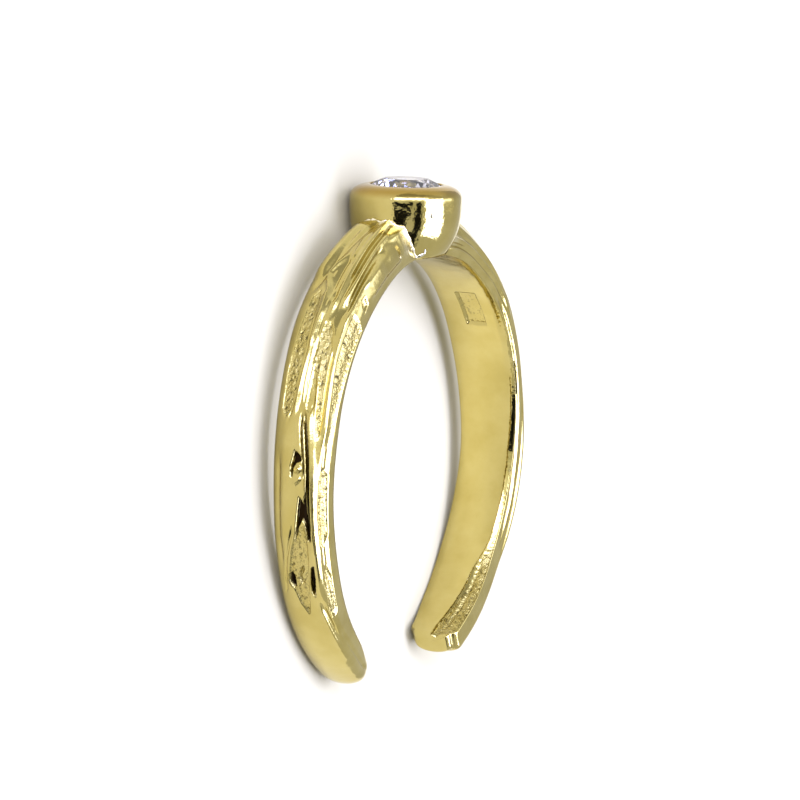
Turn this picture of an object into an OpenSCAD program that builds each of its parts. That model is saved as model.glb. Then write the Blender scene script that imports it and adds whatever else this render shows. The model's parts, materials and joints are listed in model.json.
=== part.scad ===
// Open toe ring: a cast twig band with a round stone in a burnished bezel, lying on its side.

/* [Toe hollow] */
// Inner diameter of the ring
bore_d = 15.5; // [14:0.5:18]
// Straight gap between the two tips, across the bore
tip_gap = 6.4; // [5.5:0.1:8]

/* [Arms] */
// Full width that the arms' width shares are taken of
arm_w = 2.6; // [2.2:0.1:3]
// Thickness over the crown that the arms' height shares are taken of
arm_t = 1.2; // [1:0.05:1.5]
// Depth of the furrows between the strands
furrow = 0.34; // [0.1:0.02:0.44]
// Depth of the deepest pit below the strands
pit = 0.3; // [0.1:0.02:0.36]
// Length over which the tip on +X is rounded off
near_round = 1; // [0.6:0.1:1.6]
// Length over which the squarer tip on -X is rounded off
far_round = 0.4; // [0.2:0.1:1]

/* [Bezel] */
// Height of the bezel's ridge above the bore
ridge_h = 2.1; // [1.9:0.1:2.6]
// Thickness of the bezel's wall beside the stone, at the ridge
bezel_wall = 0.57; // [0.4:0.01:0.8]
// How much narrower the bezel's foot is than its ridge, on each side
foot_in = 0.55; // [0.2:0.05:0.7]
// Height of the burnished lip above the ridge
lip_h = 0.48; // [0.4:0.02:0.6]
// How far the lip reaches in over the stone
lip_grip = 0.12; // [0.06:0.01:0.2]
// Diameter of the drilled back below the stone
back_d = 1.6; // [1:0.1:2]

/* [Stone] */
// Diameter of the round brilliant
stone_d = 3; // [2.7:0.1:3.3]
// Diameter of its table
table_d = 1.71; // [1.4:0.01:1.9]
// Height of its crown
crown_h = 0.45; // [0.35:0.01:0.55]
// Thickness of its girdle
girdle_t = 0.08; // [0.04:0.01:0.12]
// Depth of its pavilion
pavilion_h = 1.28; // [1.1:0.01:1.4]
// Height of the girdle's lower edge above the bezel's ridge
girdle_up = 0.17; // [0.1:0.01:0.2]
// Clearance between the stone and its seat
seat_gap = 0.03; // [0.02:0.01:0.05]

/* [Struck recess] */
// Length of the bare recess inside the band
recess_l = 1.8; // [0.8:0.1:2]
// Width of the recess
recess_w = 0.8; // [0.5:0.05:1]
// Depth of the recess
recess_deep = 0.15; // [0.08:0.01:0.2]

/* [Hidden] */

bore_r = bore_d / 2;
// Angle from the bezel to a tip, round the bore
arm_sweep = 180 - asin(tip_gap / bore_d);

// One row a station, evenly spaced from the bezel to the tip. The columns are the reach toward
// -Z and toward +Z as shares of arm_w, then the crown, the -Z wall and the +Z wall as shares of arm_t.
NEAR_ARM = [
    [0.44, 0.42, 1.50, 0.60, 0.60],
    [0.50, 0.42, 1.50, 0.50, 0.45],
    [0.51, 0.45, 1.34, 0.55, 0.45],
    [0.49, 0.46, 1.16, 0.55, 0.45],
    [0.43, 0.47, 1.06, 0.50, 0.50],
    [0.38, 0.49, 1.02, 0.45, 0.55],
    [0.35, 0.49, 1.02, 0.42, 0.60],
    [0.36, 0.49, 1.00, 0.42, 0.60],
    [0.38, 0.46, 1.00, 0.44, 0.55],
    [0.37, 0.42, 0.98, 0.45, 0.50],
    [0.36, 0.31, 0.94, 0.45, 0.45]
];
FAR_ARM = [
    [0.44, 0.42, 1.50, 0.60, 0.60],
    [0.42, 0.47, 1.43, 0.50, 0.75],
    [0.43, 0.48, 1.17, 0.50, 0.80],
    [0.46, 0.52, 1.14, 0.50, 0.70],
    [0.48, 0.55, 1.06, 0.50, 0.50],
    [0.46, 0.53, 1.02, 0.50, 0.48],
    [0.43, 0.48, 1.04, 0.50, 0.66],
    [0.45, 0.45, 1.04, 0.50, 0.70],
    [0.47, 0.43, 1.02, 0.50, 0.66],
    [0.44, 0.43, 0.98, 0.50, 0.62],
    [0.36, 0.40, 0.92, 0.50, 0.60]
];

// One row a strand: where it starts and ends as shares of the arm, its place across the arm from
// -1 to 1 at four even stages, its half width in the same measure, and its rise as a share of the
// furrow's depth.
NEAR_STRANDS = [
    [0.02, 0.50, -0.35, -0.82, -0.92, -0.80, 0.24, 1.00],
    [0.00, 0.49, -0.15, -0.48, -0.18, -0.02, 0.17, 1.00],
    [0.02, 0.32,  0.00,  0.10,  0.14,  0.12, 0.13, 0.80],
    [0.00, 0.50,  0.14,  0.38,  0.44,  0.62, 0.15, 0.95],
    [0.00, 0.32,  0.34,  0.58,  0.72,  0.74, 0.15, 0.90],
    [0.28, 0.76,  0.66,  0.68,  0.74,  0.78, 0.20, 1.00],
    [0.10, 0.60,  0.88,  0.98,  1.00,  0.98, 0.10, 0.90],
    [0.40, 0.76, -0.62, -0.50, -0.45, -0.62, 0.42, 1.00],
    [0.52, 0.57, -0.10, -0.08, -0.08, -0.10, 0.11, 0.90],
    [0.47, 0.61,  0.05,  0.14,  0.26,  0.32, 0.07, 0.50],
    [0.53, 0.76,  0.96,  0.98,  0.98,  0.96, 0.08, 0.85],
    [0.62, 0.80,  0.30,  0.24,  0.12,  0.05, 0.22, 0.55],
    [0.66, 0.88,  0.80,  0.78,  0.82,  0.90, 0.14, 1.00],
    [0.75, 1.15, -0.20, -0.14, -0.06,  0.00, 1.40, 1.00]
];
FAR_STRANDS = [
    [0.00, 0.58, -0.20, -0.50, -0.68, -0.74, 0.28, 1.00],
    [0.00, 0.55, -0.06, -0.20, -0.30, -0.26, 0.18, 0.95],
    [0.02, 0.48,  0.08,  0.10,  0.06,  0.16, 0.17, 0.90],
    [0.00, 0.46,  0.24,  0.44,  0.46,  0.60, 0.18, 1.00],
    [0.00, 0.26,  0.44,  0.74,  0.90,  0.96, 0.18, 1.00],
    [0.26, 0.60,  0.78,  0.84,  0.90,  0.92, 0.16, 0.90],
    [0.42, 0.86, -0.58, -0.36, -0.42, -0.60, 0.34, 1.00],
    [0.50, 0.88,  0.16,  0.34,  0.36,  0.24, 0.26, 1.00],
    [0.60, 0.94,  0.80,  0.88,  0.86,  0.80, 0.20, 0.85],
    [0.80, 1.15, -0.05,  0.00,  0.02,  0.05, 1.40, 1.00]
];

// One row a pit: its middle as a share of the arm and its place across the arm, its half length
// and half width in the same measures, its lean across per share of the arm, and its depth as a
// share of the deepest pit's.
NEAR_PITS = [
    [0.350, -0.60, 0.110, 0.16,  0.8, 0.60],
    [0.395,  0.27, 0.120, 0.16,  2.1, 0.80],
    [0.410,  0.94, 0.115, 0.13,  0.0, 0.70],
    [0.275,  0.88, 0.022, 0.06,  0.0, 0.70],
    [0.520, -0.06, 0.025, 0.11,  0.0, 0.70],
    [0.560,  0.22, 0.110, 0.13,  2.4, 0.55],
    [0.625,  0.33, 0.060, 0.22,  1.0, 0.90],
    [0.605,  0.92, 0.080, 0.13, -0.4, 0.90],
    [0.725, -0.03, 0.085, 0.36, -0.5, 0.55],
    [0.745,  0.97, 0.050, 0.11, -0.8, 0.60]
];
FAR_PITS = [
    [0.200,  0.62, 0.060, 0.12,  1.4, 0.80],
    [0.330, -0.44, 0.090, 0.15, -0.5, 0.70],
    [0.400,  0.32, 0.100, 0.14,  0.8, 0.80],
    [0.500, -0.82, 0.080, 0.15,  0.4, 0.60],
    [0.580,  0.02, 0.090, 0.18,  0.5, 0.90],
    [0.640,  0.94, 0.065, 0.13,  0.0, 0.60],
    [0.740, -0.12, 0.080, 0.24, -0.8, 0.70]
];

// Steps round each arm and across its crown, an odd number so that the tips close evenly
ARM_STEPS = 76;
CROWN_STEPS = 25;
// Where the stone's upper and lower kites are widest, as shares of the way from the table to the
// girdle and from the culet to the girdle
star_reach = 0.45;
lower_reach = 0.28;
// Turn from the bezel to the struck recess in the arm on -X
recess_turn = 48;
// Steps up the bezel's cup
CUP_STEPS = 8;
// Depth to which the swept band reaches inside the bore before the bore is cut
under_bore = 0.35;
// How full the crown is between its walls: 1 is an ellipse, less is fuller
crown_fullness = 0.75;
// How square the tips are: 2 is round, more is squarer
tip_square = 2.8;
// Share of the section that is left at the very end of a tip, and of the crown's drop toward it
tip_left = 0.5;
tip_drop = 0.65;
// Least share of its wall's height that a hollow leaves
wall_left = 0.5;

// Value at u, from 0 at the bezel to 1 at the tip, of one column of a table of even stations
function row_at(table, i, column) = table[max(0, min(len(table) - 1, i))][column];
function station(table, u, column) =
    let (x = u * (len(table) - 1), i = min(floor(x), len(table) - 2), f = x - i,
         a = row_at(table, i - 1, column), b = row_at(table, i, column),
         c = row_at(table, i + 1, column), d = row_at(table, i + 2, column))
    b + f * (c - a + f * (2 * a - 5 * b + 4 * c - d + f * (3 * b - a - 3 * c + d))) / 2;

// A rounded bump that is 1 in its middle and 0 from a distance of 1
function bump(x) = abs(x) >= 1 ? 0 : pow(cos(90 * x), 1.5);
// 0 before 0, 1 after 1 and smooth between them
function ease(x) = let (c = max(0, min(1, x))) c * c * (3 - 2 * c);

// Rise of one strand at a point of the arm, and the highest of all the strands there
function strand_rise(row, u, s) =
    let (f = (u - row[0]) / (row[1] - row[0]))
    f <= 0 || f >= 1 ? 0 :
    let (places = [for (i = [2:5]) [row[i]]],
         fade = (row[0] <= 0.03 ? 1 : ease(6 * f)) * ease(6 * (1 - f)))
    row[7] * fade * bump((s - station(places, f, 0)) / row[6]);
function strands_rise(strands, u, s) = max([for (row = strands) strand_rise(row, u, s)]);

// Depth of all the pits at a point of the arm
function pit_depth(row, u, s) =
    let (along = (u - row[0]) / row[2], across = (s - row[1] - row[4] * (u - row[0])) / row[3])
    row[5] * bump(sqrt(along * along + across * across));
function pits_depth(pits, u, s) = max([for (row = pits) pit_depth(row, u, s)]);

// Share of its full section that an arm keeps where its tip is rounded off
function tip_share(u, round_l) =
    let (left = (1 - u) * arm_sweep * PI / 180 * bore_r, k = 1 - min(1, left / round_l))
    max(tip_left, pow(1 - pow(k, tip_square), 1 / tip_square));

// Height of an arm's crown above the bore, lower toward its tip
function crown_at(u, arm, round_l) =
    station(arm, u, 2) * arm_t * (1 - tip_drop + tip_drop * tip_share(u, round_l));

// Closed section of an arm at u, as [height above the bore, z], from its -Z wall to its +Z wall
function section(u, arm, strands, pits, round_l) =
    let (keep = tip_share(u, round_l),
         low = station(arm, u, 0) * arm_w * keep, high = station(arm, u, 1) * arm_w * keep,
         crown = crown_at(u, arm, round_l),
         low_wall = station(arm, u, 3) * arm_t * keep, high_wall = station(arm, u, 4) * arm_t * keep)
    concat(
        [[-under_bore, -low]],
        [for (i = [0:CROWN_STEPS])
            let (turn = 180 * i / CROWN_STEPS, s = -cos(turn),
                 wall = (low_wall * (1 - s) + high_wall * (1 + s)) / 2,
                 full = pow(sin(turn), crown_fullness),
                 hollow = furrow * (1 - strands_rise(strands, u, s)) + pit * pits_depth(pits, u, s),
                 h = wall + (crown - wall) * full - hollow * ease(1.6 * full) * keep)
            [max(h, wall * wall_left), (high - low) / 2 + s * (high + low) / 2]],
        [[-under_bore, high]]
    );

// Outline of the bezel's cup as [radius, height above its ridge], k from 0 at its foot to 1
function cup_point(k) = [bezel_r - foot_in * pow(1 - k, 3), (k - 1) * ridge_h];

// The ring lies on its -Z side. A floor is given by its slopes along the bezel's direction and
// along X, and rest_slope finds the one that the bezel and both arms touch together.
function arm_lowest(arm, side, slope, round_l) =
    min([for (i = [0:2:ARM_STEPS])
        let (u = i / ARM_STEPS, turn = u * arm_sweep, r = bore_r + station(arm, u, 3) * arm_t)
        r * (cos(turn) * slope[0] + side * sin(turn) * slope[1])
            - station(arm, u, 0) * arm_w * tip_share(u, round_l)]);
function bezel_lowest(slope) =
    min([for (i = [0:CUP_STEPS]) let (p = cup_point(i / CUP_STEPS))
        (bore_r + ridge_h + p[1]) * slope[0] - p[0] * sqrt(1 + slope[1] * slope[1])]);
function rest_slope(slope, rounds) = rounds == 0 ? slope :
    let (near = arm_lowest(NEAR_ARM, 1, slope, near_round),
         far = arm_lowest(FAR_ARM, -1, slope, far_round))
    rest_slope([slope[0] + ((near + far) / 2 - bezel_lowest(slope)) / bore_d,
                slope[1] + (far - near) / bore_d], rounds - 1);

bezel_r = stone_d / 2 + seat_gap + bezel_wall;
stone_top = girdle_up + girdle_t + crown_h;
rest = rest_slope([0, 0], 16);
roll = atan(rest[1]);
lean = atan(rest[0] * cos(roll));
lift = -bezel_lowest(rest) * cos(lean) * cos(roll);
// Middle of the ring along Y, between the stone's table and the far side of the tips
tips_reach = max([for (i = [0:ARM_STEPS]) let (u = i / ARM_STEPS)
    -(bore_r + crown_at(u, NEAR_ARM, near_round)) * cos(u * arm_sweep)]);
mid_y = (tips_reach - bore_r - ridge_h - stone_top) / 2;

module band() {
    color("#C9B868") placed() difference() {
        union() {
            arms();
            bezel();
        }
        translate([0, 0, -2 * arm_w]) cylinder(h = 4 * arm_w, r = bore_r, $fn = 128);
        seat();
        recess();
    }
}

module stone() {
    color("#E8E6F2") placed() on_bezel() brilliant();
}

// The whole ring, turned from its own plane to where it rests
module placed() {
    translate([0, -mid_y * cos(lean), lift]) rotate([-lean, 0, 0]) rotate([0, -roll, 0]) children();
}

module on_bezel() {
    translate([0, -bore_r - ridge_h, 0]) rotate([90, 0, 0]) children();
}

// Both arms in one sweep, from the tip on -X past the bezel to the tip on +X
module arms() {
    sections = concat(
        [for (i = [ARM_STEPS:-1:1]) section(i / ARM_STEPS, FAR_ARM, FAR_STRANDS, FAR_PITS, far_round)],
        [for (i = [0:ARM_STEPS]) section(i / ARM_STEPS, NEAR_ARM, NEAR_STRANDS, NEAR_PITS, near_round)]);
    rings = len(sections);
    size = len(sections[0]);
    points = [for (j = [0:rings - 1])
        let (turn = (j - ARM_STEPS) / ARM_STEPS * arm_sweep)
        for (p = sections[j]) [(bore_r + p[0]) * sin(turn), -(bore_r + p[0]) * cos(turn), p[1]]];
    sides = [for (j = [0:rings - 2], i = [0:size - 1])
        let (a = j * size + i, b = j * size + (i + 1) % size)
        each [[a, b, b + size], [a, b + size, a + size]]];
    // Each tip is closed by rungs between the two halves of its section
    rungs = [for (i = [0:floor(size / 2) - 2])
        each [[i, i + 1, size - 2 - i], [i, size - 2 - i, size - 1 - i]]];
    first_cap = [for (rung = rungs) [rung[2], rung[1], rung[0]]];
    last_cap = [for (rung = rungs) [for (i = rung) (rings - 1) * size + i]];
    polyhedron(points, concat(sides, first_cap, last_cap), convexity = 8);
}

// The bezel's cup, wider up to its ridge and burnished in over the stone
module bezel() {
    opening_r = stone_d / 2 - lip_grip;
    cup = [for (i = [0:CUP_STEPS]) cup_point(i / CUP_STEPS)];
    lip = [for (i = [1:6]) let (turn = 90 * i / 6)
        [opening_r + (bezel_r - opening_r) * cos(turn), lip_h * sin(turn)]];
    on_bezel() rotate_extrude($fn = 96)
        polygon(concat([[0, -ridge_h - under_bore]], [[bezel_r - foot_in, -ridge_h - under_bore]],
                       cup, lip, [[0, lip_h]]));
}

// Room for the stone, its lip and the drilled back
module seat() {
    wide = stone_d / 2 + seat_gap;
    opening_r = stone_d / 2 - lip_grip;
    crown_slope = crown_h / ((stone_d - table_d) / 2);
    pavilion_slope = pavilion_h / (stone_d / 2);
    girdle_top = girdle_up + girdle_t;
    on_bezel() rotate_extrude($fn = 96) polygon([
        [0, lip_h + 1],
        [opening_r, lip_h + 1],
        [opening_r, girdle_top + seat_gap + (wide - opening_r) * crown_slope],
        [wide, girdle_top + seat_gap],
        [wide, girdle_up - seat_gap],
        [back_d / 2, girdle_up - seat_gap - (wide - back_d / 2) * pavilion_slope],
        [back_d / 2, -ridge_h - 1],
        [0, -ridge_h - 1]
    ]);
}

// The bare struck recess in the inner face of the arm on -X
module recess() {
    rotate([0, 0, -recess_turn]) translate([-recess_l / 2, -bore_r - recess_deep, -recess_w / 2])
        cube([recess_l, 2 * recess_deep, recess_w]);
}

// A round brilliant, its girdle's lower edge girdle_up above the bezel's ridge
module brilliant() {
    mains = 8;
    step = 360 / mains;
    girdle_r = stone_d / 2;
    table_r = table_d / 2;
    girdle_top = girdle_up + girdle_t;
    star_r = table_r + (girdle_r - table_r) * star_reach;
    lower_r = girdle_r * lower_reach;
    star_h = girdle_top + crown_h * (girdle_r - star_r * cos(step / 2)) / (girdle_r - table_r);
    lower_h = girdle_up - pavilion_h * (1 - lower_r * cos(step / 2) / girdle_r);
    table = [for (i = [0:mains - 1]) ring_point(table_r, i * step, girdle_top + crown_h)];
    stars = [for (i = [0:mains - 1]) ring_point(star_r, (i + 0.5) * step, star_h)];
    upper = [for (i = [0:2 * mains - 1]) ring_point(girdle_r, i * step / 2, girdle_top)];
    below = [for (i = [0:2 * mains - 1]) ring_point(girdle_r, i * step / 2, girdle_up)];
    lower = [for (i = [0:mains - 1]) ring_point(lower_r, (i + 0.5) * step, lower_h)];
    points = concat(table, stars, upper, below, lower, [[0, 0, girdle_up - pavilion_h]]);
    // First index of each ring of points
    star_i = mains;
    upper_i = 2 * mains;
    below_i = 4 * mains;
    lower_i = 6 * mains;
    culet = 7 * mains;
    crown_faces = [for (i = [0:mains - 1]) let (n = (i + 1) % mains, p = (i + mains - 1) % mains)
        each [[i, star_i + i, n],
              [i, star_i + p, upper_i + 2 * i, star_i + i],
              [star_i + i, upper_i + 2 * i, upper_i + 2 * i + 1],
              [star_i + i, upper_i + 2 * i + 1, upper_i + 2 * n]]];
    girdle_faces = [for (i = [0:2 * mains - 1]) let (n = (i + 1) % (2 * mains))
        [upper_i + i, below_i + i, below_i + n, upper_i + n]];
    pavilion_faces = [for (i = [0:mains - 1]) let (n = (i + 1) % mains, p = (i + mains - 1) % mains)
        each [[lower_i + i, below_i + 2 * i + 1, below_i + 2 * i],
              [lower_i + i, below_i + 2 * n, below_i + 2 * i + 1],
              [culet, lower_i + i, below_i + 2 * i, lower_i + p]]];
    table_face = [for (i = [0:mains - 1]) i];
    polyhedron(points, [for (face = concat([table_face], crown_faces, girdle_faces, pavilion_faces))
        [for (i = [len(face) - 1:-1:0]) face[i]]]);
}

function ring_point(r, turn, h) = [r * cos(turn), r * sin(turn), h];

band();
stone();
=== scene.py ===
import json
import math

import bpy
import numpy as np
from mathutils import Matrix, Vector, noise
from mathutils.bvhtree import BVHTree


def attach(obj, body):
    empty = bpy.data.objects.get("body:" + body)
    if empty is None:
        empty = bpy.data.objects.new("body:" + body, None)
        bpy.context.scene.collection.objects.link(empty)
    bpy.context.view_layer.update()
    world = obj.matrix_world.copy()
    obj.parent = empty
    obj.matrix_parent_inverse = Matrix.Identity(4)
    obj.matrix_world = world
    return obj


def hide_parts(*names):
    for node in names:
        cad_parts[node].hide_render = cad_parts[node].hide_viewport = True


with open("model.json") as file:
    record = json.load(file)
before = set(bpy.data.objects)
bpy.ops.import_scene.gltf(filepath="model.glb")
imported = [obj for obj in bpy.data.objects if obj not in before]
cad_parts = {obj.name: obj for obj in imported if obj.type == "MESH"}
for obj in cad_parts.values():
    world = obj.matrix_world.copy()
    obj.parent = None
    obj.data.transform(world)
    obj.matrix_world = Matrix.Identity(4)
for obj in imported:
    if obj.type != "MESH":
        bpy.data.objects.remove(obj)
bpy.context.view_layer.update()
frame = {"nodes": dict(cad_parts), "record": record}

# Where the ring lies. The toe's bore gives the middle and the axis of the ring, and everything is
# worked out in the ring's own millimetres first: +X the arm with the paddle tip, -Y the bezel,
# +Z up off the table.
bore = frame["record"]["mounts"][0]
axis = Vector(bore["axis"])
roll, lean = -math.asin(axis.x), math.atan2(axis.y, axis.z)
lie = Matrix.Rotation(-lean, 3, "X") @ Matrix.Rotation(-roll, 3, "Y")
ring_middle = Vector(bore["pos_m"])
MM = 0.001


def placed(points):
    """Points in the ring's own millimetres, as metres where the ring lies."""
    return np.asarray(points) * MM @ np.array(lie).T + np.array(ring_middle)


def in_scene(name, data):
    """A new object with this mesh, camera or light, in the scene."""
    thing = bpy.data.objects.new(name, data)
    bpy.context.scene.collection.objects.link(thing)
    return thing


# Camera at the photograph's angle to the ring: turned from the ring's axis toward the near arm,
# raised toward the bezel and rolled a little, with the bezel at the top of the picture. It stands
# this many mm away and aims slightly past the ring's middle, toward the bezel.
view_turn, view_rise, view_roll = math.radians(64.26), math.radians(8.86), math.radians(1.61)
view_distance, view_aim = 150.08, math.radians(0.853)
FOCAL_PX, FRAME_PX, SENSOR_W = 4018.3, 800, 36
to_camera = Vector((math.sin(view_turn) * math.cos(view_rise), -math.sin(view_rise),
                    math.cos(view_turn) * math.cos(view_rise)))
level_right = to_camera.cross(Vector((0, 1, 0))).normalized()
level_up = to_camera.cross(level_right).normalized()
forward = (-to_camera + math.tan(view_aim) * level_up).normalized()
level_up = level_right.cross(forward).normalized()
right = math.cos(view_roll) * level_right + math.sin(view_roll) * level_up
up = right.cross(forward)
eye = bpy.data.cameras.new("eye")
eye.sensor_width, eye.lens = SENSOR_W, SENSOR_W * FOCAL_PX / FRAME_PX
eye.clip_start, eye.clip_end = 0.01, 10
camera = in_scene("camera", eye)
camera.matrix_world = Matrix.Translation(Vector(placed([to_camera * view_distance])[0])) @ (
    lie @ Matrix((right, up, -forward)).transposed()).to_4x4()
bpy.context.scene.camera = camera


# Table: the sheet of plain pale card that the ring lies on, two metres square. It is matt, so it
# mirrors nothing, and warm enough in tone to show white in the cool light.
def srgb(code):
    """Linear colour of an sRGB hex code."""
    parts = [int(code[i:i + 2], 16) / 255 for i in (1, 3, 5)]
    return [c / 12.92 if c <= 0.04045 else ((c + 0.055) / 1.055) ** 2.4 for c in parts] + [1]


def add(tree, kind, sockets=None, **settings):
    """Adds a node with its settings, and sets its inputs or links them to a socket or a node."""
    node = tree.nodes.new(kind)
    for name, value in settings.items():
        setattr(node, name, value)
    for name, value in (sockets or {}).items():
        if isinstance(value, bpy.types.Node):
            value = [output for output in value.outputs if output.enabled][0]
        if isinstance(value, bpy.types.NodeSocket):
            tree.links.new(value, node.inputs[name])
        else:
            node.inputs[name].default_value = value
    return node


def finish_named(name):
    """A new material, and its empty tree to fill."""
    material = bpy.data.materials.new(name)
    material.use_nodes = True
    material.node_tree.nodes.clear()
    return material, material.node_tree


table_mesh = bpy.data.meshes.new("table")
table_mesh.from_pydata([(-1, -1, 0), (1, -1, 0), (1, 1, 0), (-1, 1, 0)], [], [(0, 1, 2, 3)])
table = in_scene("table", table_mesh)
card, tree = finish_named("matt_white_card")
paper = add(tree, "ShaderNodeBsdfDiffuse", {"Color": srgb("#C2BC9A"), "Roughness": 0.6})
add(tree, "ShaderNodeOutputMaterial", {"Surface": paper})
table_mesh.materials.append(card)


# Studio: a white tent lit from outside, brighter over the lens and beside it, with a dark gap below
# the lens. Its patches are set by the turn to the lens's right and the rise, both in degrees, and
# lie over each other in this order.
TENT_LEVEL = 0.72
PATCHES = [
    # Level, turn from and to, rise from and to, softness of the edges
    (0.62, 112, 178, -6, 34, 12),
    (1.05, 96, 185, 44, 84, 10),
    (1.05, -185, -110, 40, 84, 10),
    (1.35, -70, 60, 6, 50, 8),
    (0.50, -80, 80, 58, 92, 8),
    (5.50, -45, 48, 20, 42, 4),
    (2.40, 86, 112, -2, 18, 6),
    (6.50, 40, 84, -34, 27, 3),
    (0.01, -60, 2, -34, -4, 2),
    (0.01, -60, 12, -13, -4, 1.5),
    (0.01, 0, 22, -52, -31, 2),
    (0.01, 19, 32, -56, -3, 2),
]
level_view = Vector((to_camera.x, 0, to_camera.z)).normalized()
tent_up = Vector((0, -1, 0))
tent_axes = [lie @ level_view, lie @ tent_up.cross(level_view), lie @ tent_up]
world = bpy.data.worlds.new("tent")
bpy.context.scene.world = world
world.use_nodes = True
tree = world.node_tree
tree.nodes.clear()
looking = add(tree, "ShaderNodeTexCoord").outputs["Generated"]
ahead, beside, above = (add(tree, "ShaderNodeVectorMath", {0: looking, 1: tuple(direction)},
                            operation="DOT_PRODUCT") for direction in tent_axes)
turned = add(tree, "ShaderNodeMath", {0: beside, 1: ahead}, operation="ARCTAN2")
raised = add(tree, "ShaderNodeMath", {0: above}, operation="ARCSINE")
level = TENT_LEVEL
for value, *edges, soft in PATCHES:
    inside = None
    for angle, edge, way in zip((turned, turned, raised, raised), edges, (1, -1, 1, -1)):
        step = add(tree, "ShaderNodeMapRange", {
            "Value": angle, "From Min": math.radians(edge - way * soft),
            "From Max": math.radians(edge + way * soft)}, interpolation_type="SMOOTHSTEP")
        inside = step if inside is None else add(tree, "ShaderNodeMath", {0: inside, 1: step},
                                                 operation="MULTIPLY")
    level = add(tree, "ShaderNodeMix", {"Factor": inside, "A": level, "B": value})
# The bright patches are cool daylight, so their mirror images are cream and not yellow
daylight = add(tree, "ShaderNodeMapRange", {"Value": level, "From Min": 1.2, "From Max": 3.2})
glow = add(tree, "ShaderNodeMix", {"Factor": daylight, "A": (1, 1, 1, 1), "B": (1, 1.06, 1.75, 1)},
           data_type="RGBA")
tent = add(tree, "ShaderNodeBackground", {"Color": glow, "Strength": level})
add(tree, "ShaderNodeOutputWorld", {"Surface": tent})
bpy.context.scene.view_settings.view_transform = "Standard"

# A narrow lamp straight above lights the table inside the ring, and the far arm's bore mirrors that
# pool of light. Its place, its radius and the lamp's height are in mm.
POOL_AT, POOL_R, LAMP_UP = (-5.7, 1.5), 0.9, 200
pool = bpy.data.lights.new("pool_lamp", "SPOT")
pool.spot_size, pool.spot_blend = 2 * math.atan(POOL_R / LAMP_UP), 0.9
pool.shadow_soft_size, pool.energy = 0.002, 1.6
pool_lamp = in_scene("pool_lamp", pool)
pool_lamp.location = (POOL_AT[0] * MM, POOL_AT[1] * MM, LAMP_UP * MM)

# Arms: two tapering arms of cast silver, gold plated and soldered to the bezel, with a twig's
# strands, furrows and pits on the outside and a polished bore. A row of their tables gives the
# reach toward -Z and +Z in arm widths, then the crown, the -Z wall and the +Z wall in arm
# thicknesses, at even steps from the bezel to the tip. They are the solid's own numbers.
BORE_R = bore["dims"]["r_mm"]
ARM_W, ARM_T, TIP_GAP = 2.6, 1.2, 6.4
# Turns in degrees from the bezel where an arm starts, inside the cup, and where it ends
ARM_START, ARM_SWEEP = 7.4, 180 - math.degrees(math.asin(TIP_GAP / (2 * BORE_R)))
NEAR_ARM = np.array([
    [0.44, 0.42, 1.50, 0.60, 0.60],
    [0.50, 0.42, 1.50, 0.50, 0.45],
    [0.51, 0.45, 1.34, 0.55, 0.45],
    [0.49, 0.46, 1.16, 0.55, 0.45],
    [0.43, 0.47, 1.06, 0.50, 0.50],
    [0.38, 0.49, 1.02, 0.45, 0.55],
    [0.35, 0.49, 1.02, 0.42, 0.60],
    [0.36, 0.49, 1.00, 0.42, 0.60],
    [0.38, 0.46, 1.00, 0.44, 0.55],
    [0.37, 0.42, 0.98, 0.45, 0.50],
    [0.36, 0.31, 0.94, 0.45, 0.45]])
FAR_ARM = np.array([
    [0.44, 0.42, 1.50, 0.60, 0.60],
    [0.42, 0.47, 1.43, 0.50, 0.75],
    [0.43, 0.48, 1.17, 0.50, 0.80],
    [0.46, 0.52, 1.14, 0.50, 0.70],
    [0.48, 0.55, 1.06, 0.50, 0.50],
    [0.46, 0.53, 1.02, 0.50, 0.48],
    [0.43, 0.48, 1.04, 0.50, 0.66],
    [0.45, 0.45, 1.04, 0.50, 0.70],
    [0.47, 0.43, 1.02, 0.50, 0.66],
    [0.44, 0.43, 0.98, 0.50, 0.62],
    [0.36, 0.40, 0.92, 0.50, 0.60]])

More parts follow.
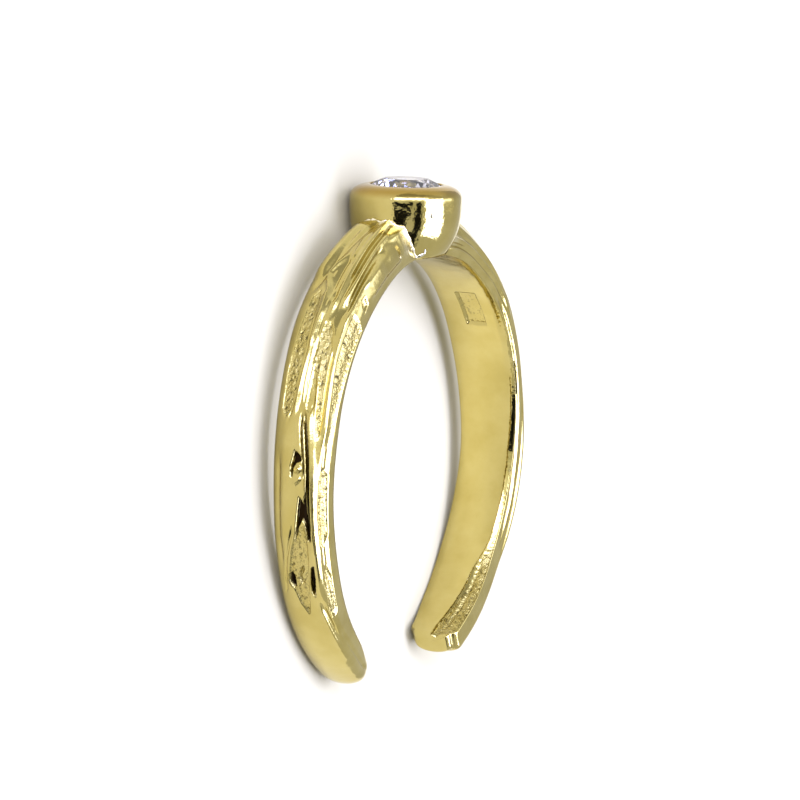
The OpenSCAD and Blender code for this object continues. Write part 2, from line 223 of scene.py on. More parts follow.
# Relief on the near arm. A strand or furrow is a height in mm, a half width in mm and its line of
# points, each a turn from the bezel in degrees and a z in mm.
NEAR_LINES = [
    # Strands out of the shoulder, and the furrows between them
    (0.10, 0.10, [(8, 0.80), (14, 0.80), (19, 0.82), (25, 0.86)]),
    (0.11, 0.10, [(14, 0.58), (19, 0.64), (24, 0.67), (30, 0.70), (36, 0.68), (41, 0.62), (46, 0.50)]),
    (0.11, 0.12, [(8, 0.24), (14, 0.29), (22, 0.32), (30, 0.32), (37, 0.31), (43, 0.26), (50, 0.12)]),
    (0.07, 0.14, [(16, 1.00), (24, 1.04), (32, 1.05), (38, 1.02)]),
    (0.12, 0.09, [(26, -0.04), (30, -0.22), (33, -0.40), (35.3, -0.52), (37.6, -0.42), (40, -0.25),
                  (43, -0.17), (50, -0.14), (58, -0.13), (66, -0.15), (74, -0.22)]),
    (0.11, 0.28, [(12, -0.80), (18, -0.84), (24, -0.90), (30, -1.02), (36, -1.14)]),
    (-0.10, 0.10, [(15, 0.90), (20, 0.85), (27, 0.83), (34, 0.84), (41, 0.84), (47, 0.80)]),
    (-0.10, 0.09, [(13, 0.46), (20, 0.50), (28, 0.51), (34, 0.52), (38, 0.48)]),
    (-0.11, 0.15, [(29, 0.12), (33, -0.02), (37, -0.04), (41, 0.06), (44, 0.16)]),
    (-0.11, 0.16, [(10, 0.00), (15, -0.12), (20, -0.24), (25, -0.38), (29, -0.52), (33, -0.68),
                   (37, -0.84), (42, -0.98)]),
    (0.09, 0.09, [(18, 0.06), (24, 0.08), (30, 0.10), (38, 0.06), (44, 0.00), (50, -0.06)]),
    (0.07, 0.08, [(26, 0.98), (34, 0.96), (42, 0.92), (50, 0.84)]),
    (-0.08, 0.10, [(16, -0.52), (22, -0.58), (30, -0.70), (36, -0.84)]),
    # Strands along the middle
    (0.05, 0.05, [(52, -0.04), (56, 0.00), (60, 0.02), (65, 0.03), (69, 0.10), (71, 0.17)]),
    (0.07, 0.12, [(40, -0.30), (48, -0.26), (56, -0.20)]),
    (0.10, 0.10, [(43, 0.88), (50, 0.86), (56, 0.88), (61, 0.94), (67, 1.01), (74, 1.08), (80, 1.10)]),
    (0.06, 0.05, [(57, 0.38), (61, 0.46), (66, 0.57), (70, 0.64), (74, 0.68)]),
    (-0.05, 0.05, [(46, -0.36), (53, -0.30), (60, -0.27), (66, -0.29), (71, -0.34), (74, -0.40),
                   (76, -0.48)]),
    (-0.09, 0.035, [(52, 0.06), (56, 0.09), (61, 0.11), (66, 0.11), (70, 0.14)]),
    (-0.12, 0.03, [(55, 0.79), (60, 0.82), (65, 0.86), (70, 0.90), (74, 0.905), (76.5, 0.87),
                   (78, 0.80)]),
    # The broad bright ridge, its steep outer side, and the swelling beside it
    (0.15, 0.22, [(66, 0.36), (72, 0.46), (78, 0.60), (84, 0.70), (92, 0.75), (100, 0.79), (106, 0.84),
                  (111, 0.84), (116, 0.78), (120, 0.72)]),
    (-0.12, 0.15, [(66, 1.24), (74, 1.30), (84, 1.26), (100, 1.24), (110, 1.22), (118, 1.12)]),
    (0.07, 0.36, [(68, -0.30), (78, -0.34), (88, -0.26), (98, -0.28), (106, -0.50)]),
    (-0.06, 0.12, [(80, -0.70), (88, -0.64), (96, -0.64), (104, -0.66), (112, -0.72)]),
    # The long groove, its fine ridges, and the knob at its side
    (-0.20, 0.05, [(70, 0.15), (74, 0.33), (78, 0.47), (82, 0.575), (87, 0.64), (92, 0.67), (98, 0.70),
                   (102, 0.70)]),
    (-0.13, 0.04, [(71, 0.12), (75, 0.18), (78, 0.25), (81, 0.34), (84, 0.43), (88, 0.50)]),
    (0.07, 0.04, [(73, 0.22), (78, 0.37), (83, 0.49), (88, 0.56), (93, 0.57)]),
    (0.13, 0.07, [(84.2, 0.30), (85.0, 0.18), (85.4, 0.07)]),
    (0.07, 0.07, [(86.6, 0.34), (87.6, 0.16), (88.2, 0.02)]),
    # Creases round the leaf-like hollow and along the paddle
    (-0.05, 0.05, [(97, 0.06), (100, -0.06), (103, -0.22), (107, -0.44), (111, -0.56), (115, -0.64),
                   (118, -0.78)]),
    (-0.07, 0.08, [(116, 0.72), (120, 0.82), (125, 0.93), (131, 1.03), (136, 1.08), (142, 1.05),
                   (148, 0.94), (153, 0.82)]),
    (0.04, 0.09, [(118, 0.64), (124, 0.76), (132, 0.86), (140, 0.88)]),
]
# Cast hollows with a granular floor, as a depth in mm, the width of their edge in mm, how rough
# they are, and their outline.
NEAR_HOLLOWS = [
    (0.09, 0.13, 1.0, [(40, -0.60), (43, -0.50), (50, -0.44), (58, -0.36), (66, -0.35), (71, -0.40),
                       (73, -0.58), (71, -0.80), (62, -0.90), (50, -0.88), (42, -0.82)]),
    (0.10, 0.08, 1.0, [(49, 0.16), (49, 0.40), (51, 0.56), (55, 0.70), (60, 0.75), (65, 0.81), (70, 0.87),
                       (75, 0.87), (77, 0.80), (74, 0.72), (69, 0.66), (65, 0.58), (62, 0.44), (61, 0.24),
                       (56, 0.12)]),
    (0.07, 0.08, 0.4, [(60, 0.18), (62, 0.40), (66, 0.50), (70, 0.56), (72, 0.44), (71, 0.28),
                       (68, 0.20)]),
    (0.10, 0.09, 1.0, [(45, 1.02), (52, 1.01), (58, 1.01), (64, 1.07), (72, 1.16), (79, 1.28), (76, 1.44),
                       (60, 1.50), (46, 1.46)]),
    (0.12, 0.05, 0.3, [(38.5, 1.06), (40, 1.04), (42.5, 1.14), (42, 1.18), (39.5, 1.12)]),
    (0.13, 0.07, 0.1, [(88, 0.60), (93, 0.62), (101.6, 0.75), (101.6, 0.62), (97.5, 0.52), (96.4, 0.42),
                       (98, 0.28), (101.6, 0.06), (97, 0.18), (91, 0.30), (92.6, 0.46)]),
    (0.15, 0.05, 0.1, [(80.4, 0.02), (81.0, 0.14), (81.8, 0.28), (82.9, 0.31), (83.2, 0.12), (84.6, 0.00),
                       (86.6, 0.00), (86.2, -0.09), (84.2, -0.10), (82.4, -0.03)]),
    (0.09, 0.08, 0.8, [(98, 0.42), (101, 0.56), (106, 0.55), (113, 0.42), (119, 0.28), (122, 0.18),
                       (119, -0.06), (114, -0.30), (110, -0.34), (104, -0.12), (99.5, 0.16)]),
    (0.16, 0.05, 0.7, [(110.4, -0.28), (111.5, -0.19), (114, -0.19), (114.4, -0.32), (113, -0.46),
                       (110.8, -0.42)]),
    (0.12, 0.05, 0.9, [(108.2, 0.26), (109.6, 0.26), (111, 0.12), (113, 0.20), (113.6, 0.06),
                       (110.6, 0.02)]),
    (0.24, 0.05, 0.1, [(107.8, 0.74), (111, 0.74), (116.6, 0.60), (115.2, 0.48), (112, 0.52),
                       (108.4, 0.62)]),
    (0.11, 0.08, 1.0, [(84, 1.16), (87, 1.05), (96, 1.03), (103, 1.07), (103.5, 1.20), (100, 1.44),
                       (86, 1.44)]),
    (0.09, 0.07, 0.8, [(108, 1.20), (112, 1.10), (120, 1.00), (123, 1.04), (121, 1.20), (112, 1.34)]),
]


# Relief on the far arm: long strands like the near arm's. On its bore side it has a plain struck
# recess and a granular bevel that widens toward the tip.
FAR_LINES = [
    (0.12, 0.16, [(8, 0.70), (20, 0.74), (34, 0.86), (50, 1.00), (62, 1.04)]),
    (0.12, 0.15, [(8, 0.30), (22, 0.36), (38, 0.44), (54, 0.66), (74, 0.84), (92, 0.86)]),
    (0.12, 0.17, [(8, -0.12), (24, -0.10), (44, 0.04), (66, 0.26), (86, 0.36), (108, 0.50)]),
    (0.12, 0.16, [(8, -0.56), (26, -0.58), (46, -0.46), (70, -0.24), (94, -0.08), (122, 0.10)]),
    (0.11, 0.15, [(8, -0.92), (30, -0.98), (56, -0.90), (82, -0.66), (110, -0.42), (136, -0.30)]),
    (0.10, 0.12, [(60, 0.98), (80, 1.12), (104, 1.08), (128, 0.86)]),
    (0.12, 0.30, [(98, -0.76), (116, -0.70), (134, -0.62)]),
    (0.10, 0.10, [(4, 1.20), (16, 1.34), (28, 1.46), (42, 1.50), (58, 1.46)]),
    (0.10, 0.09, [(6, 1.62), (18, 1.72), (30, 1.80), (46, 1.74)]),
    (0.06, 0.06, [(28, 1.62), (56, 1.70), (88, 1.62), (122, 1.36)]),
    (-0.10, 0.08, [(8, 1.00), (20, 1.20), (34, 1.32), (50, 1.30)]),
    (-0.10, 0.07, [(6, 1.46), (20, 1.58), (36, 1.64), (52, 1.60)]),
    (-0.07, 0.05, [(40, 1.84), (62, 1.84), (92, 1.72), (124, 1.46)]),
    (-0.09, 0.06, [(26, 0.56), (40, 0.64), (56, 0.84), (70, 0.96)]),
    (-0.09, 0.06, [(34, 0.20), (52, 0.36), (72, 0.56), (92, 0.62)]),
    (-0.09, 0.06, [(30, -0.34), (52, -0.22), (76, 0.02), (98, 0.18)]),
    (-0.09, 0.06, [(40, -0.74), (64, -0.60), (88, -0.38), (112, -0.20)]),
]
FAR_HOLLOWS = [
    (0.12, 0.08, 1.0, [(62, 0.44), (74, 0.54), (88, 0.60), (96, 0.64), (88, 0.74), (72, 0.68)]),
    (0.12, 0.08, 1.0, [(72, -0.42), (84, -0.32), (100, -0.24), (108, -0.24), (98, -0.40), (82, -0.50)]),
    (0.10, 0.08, 0.9, [(96, 0.92), (108, 0.96), (122, 0.80), (124, 0.72), (108, 0.80), (98, 0.82)]),
]
FAR_BORE_LINES = [
    # The worn edges of the bore, rounded a little toward -Z and toward +Z
    (-0.05, 0.20, [(4, -1.10), (24, -1.12), (40, -1.14), (62, -1.26), (80, -1.24), (96, -1.14),
                   (112, -1.18), (128, -1.22), (142, -1.12), (162, -0.90)]),
    (-0.07, 0.20, [(4, 1.10), (20, 1.24), (40, 1.30), (62, 1.42), (78, 1.36), (94, 1.24), (110, 1.18),
                   (126, 1.12), (142, 1.12), (162, 1.02)]),
    # The crease beside the bevel
    (-0.05, 0.07, [(126, 0.74), (132, 0.66), (140, 0.62), (150, 0.46), (162, 0.20)]),
]
FAR_BORE_HOLLOWS = [
    (0.12, 0.045, 0.4, [(41.4, -0.25), (41.4, 0.55), (54.6, 0.55), (54.6, -0.25)]),
    (0.11, 0.40, 0.9, [(100, 1.20), (110, 1.06), (121, 0.92), (129, 0.60), (138, 0.46), (152, 0.16),
                       (166, 0.10), (166, 1.70), (100, 1.70)]),
]


def station(table, u, column):
    """Smooth value of a table's column at u, from 0 at the bezel to 1 at the tip."""
    last = len(table) - 1
    x = np.clip(u, 0, 1) * last
    i = np.minimum(np.floor(x).astype(int), last - 1)
    f = x - i
    a, b, c, d = (table[np.clip(i + k, 0, last), column] for k in (-1, 0, 1, 2))
    return b + f * (c - a + f * (2 * a - 5 * b + 4 * c - d + f * (3 * b - a - 3 * c + d))) / 2


def ease(x):
    """Smooth step from 0 to 1 as x goes from 0 to 1."""
    c = np.clip(x, 0, 1)
    return c * c * (3 - 2 * c)


# Length of one degree of turn in mm, at the height over the bore where the relief lies
RELIEF_UP = 1
DEGREE = math.radians(1) * (BORE_R + RELIEF_UP)


def to_edge(along, across, a, b):
    """Distance in mm to the edge from a to b, and the nearest point's place on it, from 0 to 1."""
    run = b - a
    t = np.clip(((along - a[0]) * run[0] + (across - a[1]) * run[1]) / (run ** 2).sum(), 0, 1)
    return np.hypot(along - a[0] - t * run[0], across - a[1] - t * run[1]), t


def to_line(along, across, line):
    """Distance in mm to a line, and how far along the line its nearest point is, from 0 to 1."""
    points = np.array([(turn * DEGREE, z) for turn, z in line])
    lengths = np.hypot(*(points[1:] - points[:-1]).T)
    total, done = lengths.sum(), 0.0
    best, share = np.full(along.shape, np.inf), np.zeros(along.shape)
    for a, b, length in zip(points[:-1], points[1:], lengths):
        d, t = to_edge(along, across, a, b)
        nearer = d < best
        best = np.where(nearer, d, best)
        share = np.where(nearer, (done + t * length) / total, share)
        done += length
    return best, share


def in_outline(along, across, outline):
    """Distance in mm inside an outline, negative outside it."""
    points = np.array([(turn * DEGREE, z) for turn, z in outline])
    inside = np.zeros(along.shape, bool)
    near = np.full(along.shape, np.inf)
    for a, b in zip(points, np.roll(points, -1, axis=0)):
        crosses = (a[1] > across) != (b[1] > across)
        meets = a[0] + (across - a[1]) / (b[1] - a[1] if b[1] != a[1] else 1e-9) * (b[0] - a[0])
        inside ^= crosses & (along < meets)
        near = np.minimum(near, to_edge(along, across, a, b)[0])
    return np.where(inside, near, -near)


# A line deeper and narrower than this, in mm, is darkened with painted shade, and so is a hollow that is
# deeper
PAINTED_SHADE_DEPTH, PAINTED_SHADE_WIDTH = 0.12, 0.06
# Casting grit: its lumps to a mm, its height in mm, and the degrees in which it fades at the tip
GRIT_PER_MM, GRIT_H, GRIT_FADE_DEG = 7, 0.03, 5


def relief(turn, across, level, lines, hollows):
    """Height in mm over the smooth section, how granular it is and how much painted shade it gets, at
    points of an arm.
    """
    along = turn * DEGREE
    height = level.copy()
    grain, painted_shade = np.zeros(turn.shape), np.zeros(turn.shape)
    for rise, half, line in lines:
        d, share = to_line(along, across, line)
        # A line fades in and out over a sixth of its length
        near = ease(6 * share) * ease(6 * (1 - share)) * np.exp(-(d / half) ** 2)
        height += rise * near
        if rise < -PAINTED_SHADE_DEPTH and half < PAINTED_SHADE_WIDTH:
            painted_shade = np.maximum(painted_shade, near)
    for depth, edge, rough, outline in hollows:
        # A hollow's wall begins a little outside its outline
        inside = ease(in_outline(along, across, outline) / edge + 0.4)
        height -= depth * inside
        grain = np.maximum(grain, rough * inside)
        if depth > PAINTED_SHADE_DEPTH:
            painted_shade = np.maximum(painted_shade, inside)
    grit = np.array([noise.fractal(Vector((x, y, 0)) * GRIT_PER_MM, 0.8, 2, 3) if g > 0.02 else 0
                     for x, y, g in zip(along.flat, across.flat, grain.flat)]).reshape(turn.shape)
    grit = grit * ease((ARM_SWEEP - turn) / GRIT_FADE_DEG)
    # Painted shade goes in the low spots of the grit as well
    low_spots = ease((-grit - 0.3) / 0.25)
    return height + GRIT_H * grit * grain, grain, np.maximum(painted_shade, 0.8 * grain * low_spots)


# The foot's rounding in mm, the columns in a rounded corner, and how square the crown is
FOOT_ROUND, CORNER_COLUMNS, CROWN_POWER = 0.09, 6, 0.75
# How square a tip's rounding is, the share of the crown that it leaves, and the last degrees in
# which the foot rounds off more
TIP_POWER, TIP_CROWN, TIP_FOOT_DEG = 2.8, 0.35, 14
# The smooth body is sunk this far in mm under the solid's crown and walls, and the strands rise out
# of it. Toward the tip the sink fades, over so many degrees, to a share of itself.
CROWN_SINK, WALL_SINK, TIP_SINK, SINK_FADE_DEG = -0.18, -0.04, 0.15, 40
# The relief lies so far toward +Z of its listed places and fades before the tip, both in mm, and
# the cast surface is this satin between the hollows
RELIEF_SHIFT, RELIEF_FADE, CAST_SATIN = 0.10, 1.1, 0.35
# The bezel's outer radius in mm, and the solder that has flooded from it over the shoulders: its reach in
# mm, the rise in mm over which it sets in, the share of that rise left clear above the bore, and how much
# of the seam's pale cream painted highlight it takes
BEZEL_R = 2.1
SOLDER_FLOOD, SOLDER_RISE, SOLDER_CLEAR, SOLDER_COVER = 0.5, 0.6, 0.3, 0.5


def section(table, turn, keep, foot, counts):
    """An arm's smooth section at each turn, round from the -Z edge of its crown.

    Gives z and height over the bore, how far across the surface each column lies, how full the
    crown is at its columns, and the columns in each stretch.
    """
    crown_count, wall_count, bore_count = counts
    u = turn / ARM_SWEEP
    low, high = (station(table, u, c)[:, None] * ARM_W * keep for c in (0, 1))
    crown = station(table, u, 2)[:, None] * ARM_T * (TIP_CROWN + (1 - TIP_CROWN) * keep)
    low_wall, high_wall = (station(table, u, c)[:, None] * ARM_T * keep for c in (3, 4))
    s = -np.cos(np.linspace(0, math.pi, crown_count))[None, :]
    full = np.sqrt(np.maximum(1 - s * s, 0)) ** CROWN_POWER
    wall = (low_wall * (1 - s) + high_wall * (1 + s)) / 2
    corner = np.linspace(0, math.pi / 2, CORNER_COLUMNS)[None, :]
    down = np.linspace(0, 1, wall_count + 1)[None, 1:-1]
    inner = np.linspace(1, 0, bore_count)[None, 1:-1]
    # Crown, +Z wall, +Z foot, bore, -Z foot and -Z wall
    z = [(high - low) / 2 + s * (high + low) / 2, high + 0 * down, high - foot * (1 - np.cos(corner)),
         (high - foot) * inner - (low - foot) * (1 - inner),
         -low + foot * (1 - np.cos(corner[:, ::-1])), -low + 0 * down]
    h = [wall + (crown - wall) * full, high_wall + (foot - high_wall) * down,
         foot * (1 - np.sin(corner)), 0 * keep * inner, foot * (1 - np.sin(corner[:, ::-1])),
         low_wall + (foot - low_wall) * down[:, ::-1]]
    # z on the crown, and on down the walls
    across = np.hstack([z[0], high + high_wall - h[1], high + high_wall - h[2], z[3],
                        -low - low_wall + h[4], -low - low_wall + h[5]])
    return np.hstack(z), np.hstack(h), across, full, [stretch.shape[1] for stretch in z]


def ring_piece(name, points, faces, marks):
    """A smooth piece from points in the ring's own millimetres, with its marks as attributes."""
    mesh = bpy.data.meshes.new(name)
    mesh.from_pydata(placed(points).tolist(), [], faces)
    mesh.shade_smooth()
    for mark, values in marks.items():
        mesh.attributes.new(mark, "FLOAT", "POINT").data.foreach_set(
            "value", np.asarray(values, np.float32))
    return in_scene(name, mesh)


def shell(name, side, points, marks, tip):
    """A closed piece of an arm's sections, its tip closed in rings toward the middle."""
    size = points.shape[1]
    last, middle = points[-1], points[-1].mean(0)
    out = np.array([side * math.cos(math.radians(ARM_SWEEP)), math.sin(math.radians(ARM_SWEEP)), 0])
    closing = [middle + (last - middle) * share + out * reach for share, reach in tip[:-1]]
    verts = np.vstack([points.reshape(-1, 3), *closing, middle + out * tip[-1][1]])
    rim, top = len(verts) - 1 - size, len(verts) - 1
    faces = []
    for start in range(0, rim, size):
        for i in range(size):
            a, b = start + i, start + (i + 1) % size
            faces.append((a, b, b + size, a + size))
    faces += [(rim + i, rim + (i + 1) % size, top) for i in range(size)]
    faces.append(tuple(range(size - 1, -1, -1)))
    if side > 0:
        faces = [face[::-1] for face in faces]
    # The closed tip is plain plate, with no mark on it
    bare = np.zeros(len(verts) - points.shape[0] * size)
    marks = {mark: np.append(values.reshape(-1), bare) for mark, values in marks.items()}
    return ring_piece(name, verts, faces, marks)


def arm(name, side, table, outside, bore_side, counts, rounding, tip_foot, tip):
    """One arm as a closed shell: the cast outside with its relief, rounded feet and the bore.

    counts gives the sections along it and the columns of its crown, a wall and the bore. rounding
    gives how far from the tip the arm starts to narrow, in mm, and the least share of it left.
    """
    turn = np.linspace(ARM_START, ARM_SWEEP, counts[0])
    left = ARM_SWEEP - turn
    left_mm = np.radians(left) * BORE_R
    reach, least = rounding
    k = 1 - np.minimum(1, left_mm / reach)
    keep = np.maximum(least, (1 - k ** TIP_POWER) ** (1 / TIP_POWER))[:, None]
    foot = (FOOT_ROUND + tip_foot * ease(1 - left / TIP_FOOT_DEG)[:, None]) * keep
    z, h, across, full, sizes = section(table, turn, keep, foot, counts[1:])
    sink = np.full(z.shape, WALL_SINK)
    sink[:, :sizes[0]] += (CROWN_SINK - WALL_SINK) * full
    sink *= TIP_SINK + (1 - TIP_SINK) * ease(left / SINK_FADE_DEG)[:, None]
    # The polished bore runs from the middle of one rounded foot to the middle of the other
    begin, end = (sum(sizes[:n]) + CORNER_COLUMNS // 2 for n in (2, 4))
    cast, bored = np.r_[0:begin, end:z.shape[1]], np.r_[begin:end]
    turn_grid = np.repeat(turn[:, None], z.shape[1], axis=1)
    rise, grain, painted_shade = (np.zeros(z.shape) for _ in range(3))
    for columns, where, level, pattern in ((cast, across - RELIEF_SHIFT, sink, outside),
                                           (bored, z, 0 * z, bore_side)):
        rise[:, columns], grain[:, columns], painted_shade[:, columns] = relief(
            turn_grid[:, columns], where[:, columns], level[:, columns], *pattern)
    grain[:, cast] = np.maximum(grain[:, cast], CAST_SATIN)
    fade = ease(left_mm / RELIEF_FADE)[:, None]
    rise[:, cast] = (sink + (rise - sink) * fade)[:, cast]
    # The relief stands square to the section
    dz, dh = (np.roll(values, -1, 1) - np.roll(values, 1, 1) for values in (z, h))
    length = np.hypot(dz, dh)
    z, h = z - rise * keep * dh / length, h + rise * keep * dz / length
    angle = np.radians(turn)[:, None]
    points = np.stack([side * (BORE_R + h) * np.sin(angle), -(BORE_R + h) * np.cos(angle), z], -1)
    from_bezel = np.hypot(points[..., 0], points[..., 2]) - BEZEL_R
    # The flooded solder is painted pale cream near the bezel, a painted highlight
    solder_and_sheen = ease(1 - from_bezel / SOLDER_FLOOD) * ease(h / SOLDER_RISE - SOLDER_CLEAR)
    marks = {"grain": grain, "painted_shade": painted_shade, "solder_and_sheen": solder_and_sheen * SOLDER_COVER}
    return shell(name, side, points, marks, tip)


# The tips, as the share of the last section left and its reach in mm: one domed, one filed square
# with a bevel all round
DOMED = [(math.cos(t), 0.28 * math.sin(t)) for t in np.linspace(0, math.pi / 2, 9)[1:]]
FILED = [(0.99, 0.02), (0.94, 0.08), (0.86, 0.13), (0.83, 0.14), (0.6, 0.15), (0.3, 0.155), (0, 0.155)]
near_arm = arm("near_arm", 1, NEAR_ARM, (NEAR_LINES, NEAR_HOLLOWS), ([], []),
               counts=(520, 110, 22, 14), rounding=(1.0, 0.5), tip_foot=0.36, tip=DOMED)
far_arm = arm("far_arm", -1, FAR_ARM, (FAR_LINES, FAR_HOLLOWS), (FAR_BORE_LINES, FAR_BORE_HOLLOWS),
              counts=(480, 60, 12, 70), rounding=(0.4, 0.78), tip_foot=0.06, tip=FILED)

# Gold plate: cast silver with a pale, slightly green gold plate, tumbled and hand polished. It mirrors
# softly on the strands, is satin and granular in the cast hollows, and is darkened with painted shade in
# the deepest cuts. The solder is painted a pale cream as a painted highlight, and the lip a deeper ochre
# as painted shade.
gold, tree = finish_named("pale_gold_plate_polished")
place = add(tree, "ShaderNodeTexCoord").outputs["Object"]
grain, painted_shade, solder_and_sheen, burnished = (add(tree, "ShaderNodeAttribute", attribute_name=mark).outputs["Fac"]
                                  for mark in ("grain", "painted_shade", "solder_and_sheen", "burnished"))
# Cast grain of about 0.1 mm, the soft cloudiness of hand polishing over a millimetre or so, and
# the fine dimpling of plate at about 0.15 mm
sand, cloud, peel = (add(tree, "ShaderNodeTexNoise", {
    "Vector": place, "Scale": per_mm / MM, "Detail": detail, "Roughness": roughness})
    for per_mm, detail, roughness in ((9, 3, 0.6), (0.9, 4, 0.55), (6.5, 2, 0.5)))
tone = add(tree, "ShaderNodeMapRange", {"Value": cloud, "From Min": 0.35, "From Max": 0.65})
colour = add(tree, "ShaderNodeMix", {"Factor": tone, "A": srgb("#BFAF68"), "B": srgb("#CBBC78")},
             data_type="RGBA")
# Painted highlight of pale cream on the solder, painted shade of deeper ochre on the lip and near black
# in the deepest cuts
for mark, code in ((solder_and_sheen, "#F3EDD6"), (burnished, "#A78C45"), (painted_shade, "#20160B")):
    colour = add(tree, "ShaderNodeMix", {"Factor": mark, "A": colour, "B": srgb(code)},
                 data_type="RGBA")
satin = add(tree, "ShaderNodeMapRange", {"Value": grain, "To Min": 0.05, "To Max": 0.26})
clouded = add(tree, "ShaderNodeMapRange", {"Value": cloud, "From Min": 0.4, "From Max": 0.75,
                                           "To Min": 0.0, "To Max": 0.07})
rough = add(tree, "ShaderNodeMath", {0: satin, 1: clouded}, operation="ADD")
cast_ground = add(tree, "ShaderNodeMapRange", {"Value": grain, "From Min": CAST_SATIN})
sanded = add(tree, "ShaderNodeMath", {0: sand, 1: cast_ground}, operation="MULTIPLY")
waves = add(tree, "ShaderNodeMath", {0: cloud, 1: 0.5, 2: sanded}, operation="MULTIPLY_ADD")
dimpled = add(tree, "ShaderNodeMath", {0: peel, 1: 0.06, 2: waves}, operation="MULTIPLY_ADD")
bumped = add(tree, "ShaderNodeBump", {"Height": dimpled, "Strength": 1, "Distance": 0.07 * MM})
metal = add(tree, "ShaderNodeBsdfPrincipled", {
    "Base Color": colour, "Metallic": 1, "Roughness": rough, "Normal": bumped})
add(tree, "ShaderNodeOutputMaterial", {"Surface": metal})

for piece in (near_arm, far_arm):
    piece.data.materials.append(gold)
    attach(piece, "root")
    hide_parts("band")

# Bezel: a smooth turned cup soldered to the shoulders, its lip burnished in over the stone and its
# back drilled through. Sizes are in mm, and heights count from the ridge under the lip.
RIDGE_H, FOOT_IN, LIP_H, OPENING_R, BACK_R = 2.1, 0.55, 0.48, 1.38, 0.8
STONE_R, GIRDLE_UP, GIRDLE_T, CROWN_H, TABLE_R, PAVILION_H = 1.5, 0.17, 0.08, 0.45, 0.855, 1.28
SEAT_GAP, OVER_BORE = 0.03, 0.01
# Burnishing leaves the cup a little under its size, with waves round it of this height
UNDER_SIZE, WAVE_H = -0.015, 0.022
CUP_COLUMNS = 160


def cup_r(k):
    """Radius of the cup's wall at a share k of the ridge's height over the bore."""
    return BEZEL_R - FOOT_IN * (1 - k) ** 3


seat_r, seat_low, seat_high = STONE_R + SEAT_GAP, GIRDLE_UP - SEAT_GAP, GIRDLE_UP + GIRDLE_T + SEAT_GAP
crown_slope, pavilion_slope = CROWN_H / (STONE_R - TABLE_R), PAVILION_H / STONE_R
outline = [(cup_r(k), (k - 1) * RIDGE_H) for k in np.linspace(0, 1, 25)]
outline += [(OPENING_R + (BEZEL_R - OPENING_R) * math.cos(t), LIP_H * math.sin(t))
            for t in np.linspace(0, math.pi / 2, 17)[1:]]
outline += [(OPENING_R, seat_high + (seat_r - OPENING_R) * crown_slope), (seat_r, seat_high),
            (seat_r, seat_low), (BACK_R, seat_low - (seat_r - BACK_R) * pavilion_slope),
            (BACK_R, -RIDGE_H)]
size = len(outline)
verts, faces = [], []
for i in range(CUP_COLUMNS):
    t = 2 * math.pi * i / CUP_COLUMNS
    for n, (r, h) in enumerate(outline):
        r += UNDER_SIZE + WAVE_H * noise.noise(Vector((1.3 * math.cos(t), 1.3 * math.sin(t), 0.5 * h)))
        x, z = r * math.cos(t), r * math.sin(t)
        y = BORE_R + RIDGE_H + h
        if n in (0, size - 1):
            # The wall and the drilled hole both end just over the bore
            y = math.sqrt((BORE_R + OVER_BORE) ** 2 - x * x)
        verts.append((x, -y, z))
        a, b = i * size + n, i * size + (n + 1) % size
        c, d = ((i + 1) % CUP_COLUMNS) * size + (n + 1) % size, ((i + 1) % CUP_COLUMNS) * size + n
        faces.append((d, c, b, a))
# The lip, rubbed over the stone, is painted a deeper ochre as painted shade, fully so from seven tenths
# of its height up
lip_shade = [ease((r < BEZEL_R - 0.01) * (h > 0) * h / LIP_H * 1.4) for r, h in outline]
bezel = ring_piece("bezel", verts, faces, {"burnished": np.tile(lip_shade, CUP_COLUMNS)})
bezel.data.materials.append(gold)
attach(bezel, "root")
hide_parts("band")

# Solder seams: the ragged bright bead that runs where each shoulder meets the bezel. Each is a path
# round the cup at the height where the arm's surface leaves it. The bead's radius and how far its
# skin is shaken are in mm.
SEAM_R, SEAM_RAGGED, SEAM_STEP_DEG, SEAM_POINTS = 0.055, 0.06, 2, 90
seam_bead = bpy.data.node_groups.new("solder_bead", "GeometryNodeTree")
for name, kind, way in (("Geometry", "Geometry", "INPUT"), ("Bead radius", "Float", "INPUT"),
                        ("Raggedness", "Float", "INPUT"), ("Geometry", "Geometry", "OUTPUT")):
    seam_bead.interface.new_socket(name=name, socket_type="NodeSocket" + kind, in_out=way)
given = add(seam_bead, "NodeGroupInput").outputs
path = add(seam_bead, "GeometryNodeMeshToCurve", {"Mesh": given["Geometry"]})
path = add(seam_bead, "GeometryNodeResampleCurve", {"Curve": path, "Count": SEAM_POINTS})
# Lumps of about 0.2 mm along the bead, from a third of its radius to half as much again
lumps = add(seam_bead, "ShaderNodeTexNoise", {"Scale": 5.2 / MM, "Detail": 2.0})
girth = add(seam_bead, "ShaderNodeMapRange", {"Value": lumps, "From Min": 0.3, "From Max": 0.7,
                                              "To Min": 0.35, "To Max": 1.5})
girth = add(seam_bead, "ShaderNodeMath", {0: girth, 1: given["Bead radius"]}, operation="MULTIPLY")
round_wire = add(seam_bead, "GeometryNodeCurvePrimitiveCircle", {"Resolution": 10, "Radius": 1.0})
bead = add(seam_bead, "GeometryNodeCurveToMesh", {"Curve": path, "Profile Curve": round_wire,
                                                  "Scale": girth, "Fill Caps": True})
crumbs = add(seam_bead, "ShaderNodeTexNoise", {"Scale": 14 / MM, "Detail": 1.0}).outputs["Color"]
centred = add(seam_bead, "ShaderNodeVectorMath", {0: crumbs, 1: (0.5, 0.5, 0.5)},
              operation="SUBTRACT")
shift = add(seam_bead, "ShaderNodeVectorMath", {0: centred, "Scale": given["Raggedness"]},
            operation="SCALE")
shaken = add(seam_bead, "GeometryNodeSetPosition", {"Geometry": bead, "Offset": shift})
plain = add(seam_bead, "GeometryNodeRealizeInstances", {"Geometry": shaken})
plated = add(seam_bead, "GeometryNodeSetMaterial", {"Geometry": plain, "Material": gold})
add(seam_bead, "NodeGroupOutput", {"Geometry": plated})


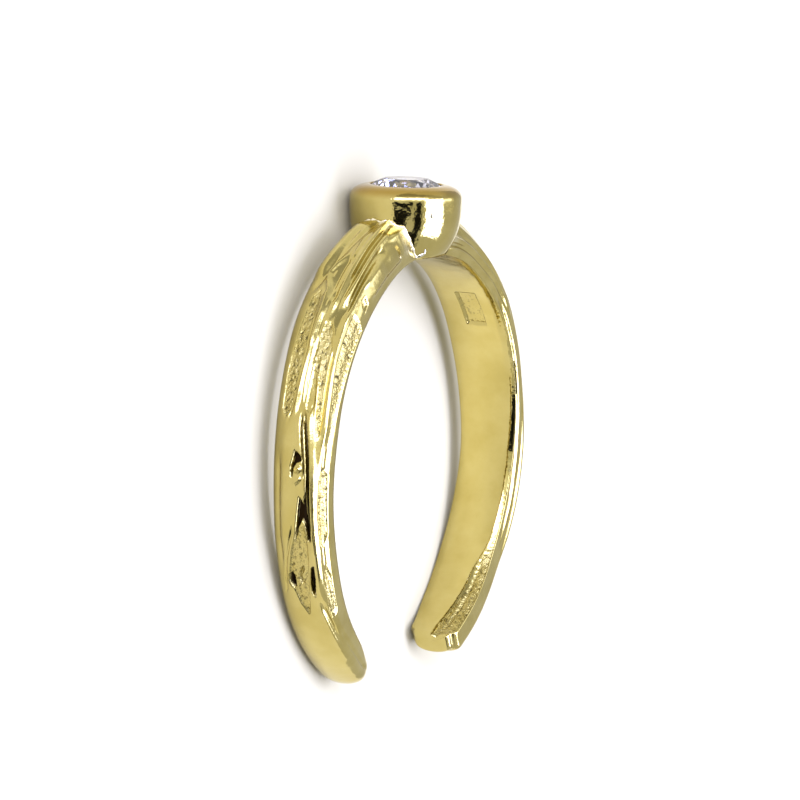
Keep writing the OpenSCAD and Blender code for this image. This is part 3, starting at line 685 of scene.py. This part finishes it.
def by_rule(thing, tree, values):
    """Runs a Geometry Nodes tree on a thing with its named inputs set, and keeps the plain result."""
    modifier = thing.modifiers.new(tree.name, "NODES")
    modifier.node_group = tree
    for item in tree.interface.items_tree:
        if item.in_out == "INPUT" and item.name in values:
            modifier[item.identifier] = values[item.name]
    made = bpy.data.meshes.new_from_object(thing.evaluated_get(bpy.context.evaluated_depsgraph_get()))
    thing.modifiers.clear()
    thing.data = made


for name, shoulder, middle in (("near_solder_seam", near_arm, 0), ("far_solder_seam", far_arm, 180)):
    arm_surface = BVHTree.FromPolygons([v.co for v in shoulder.data.vertices],
                                       [tuple(f.vertices) for f in shoulder.data.polygons])
    seam = []
    for turn in range(middle - 90, middle + 91, SEAM_STEP_DEG):
        t = math.radians(turn)
        # Down the wall from nine tenths of its height, until a point lies inside the arm
        for k in np.linspace(0.9, 0, 46):
            r = cup_r(k)
            point = Vector(placed([(r * math.cos(t), -(BORE_R + k * RIDGE_H), r * math.sin(t))])[0])
            nearest, normal, _, _ = arm_surface.find_nearest(point)
            if (point - nearest).dot(normal) < 0:
                seam.append(point)
                break
    line = bpy.data.meshes.new(name)
    line.from_pydata(seam, [(i, i + 1) for i in range(len(seam) - 1)], [])
    solder_seam = in_scene(name, line)
    by_rule(solder_seam, seam_bead, {"Bead radius": SEAM_R * MM, "Raggedness": SEAM_RAGGED * MM})
    # The whole bead is painted pale cream, a painted highlight
    bright = solder_seam.data.attributes.new("solder_and_sheen", "FLOAT", "POINT").data
    bright.foreach_set("value", np.ones(len(bright), np.float32))
    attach(solder_seam, "root")
    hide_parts("band")

# Stone: a round brilliant of clear cubic zirconia, cut with flat facets and held in the bezel's seat
# by the lip. It bends light strongly, so bright facets stand beside dark ones. Its shape is the
# solid's own.
zirconia, tree = finish_named("clear_cubic_zirconia_cut")
glass = add(tree, "ShaderNodeBsdfGlass", {"Color": srgb("#F6F6FC"), "Roughness": 0.0, "IOR": 2.16})
add(tree, "ShaderNodeOutputMaterial", {"Surface": glass})
stone = frame["nodes"]["stone"]
stone.data.materials.clear()
stone.data.materials.append(zirconia)
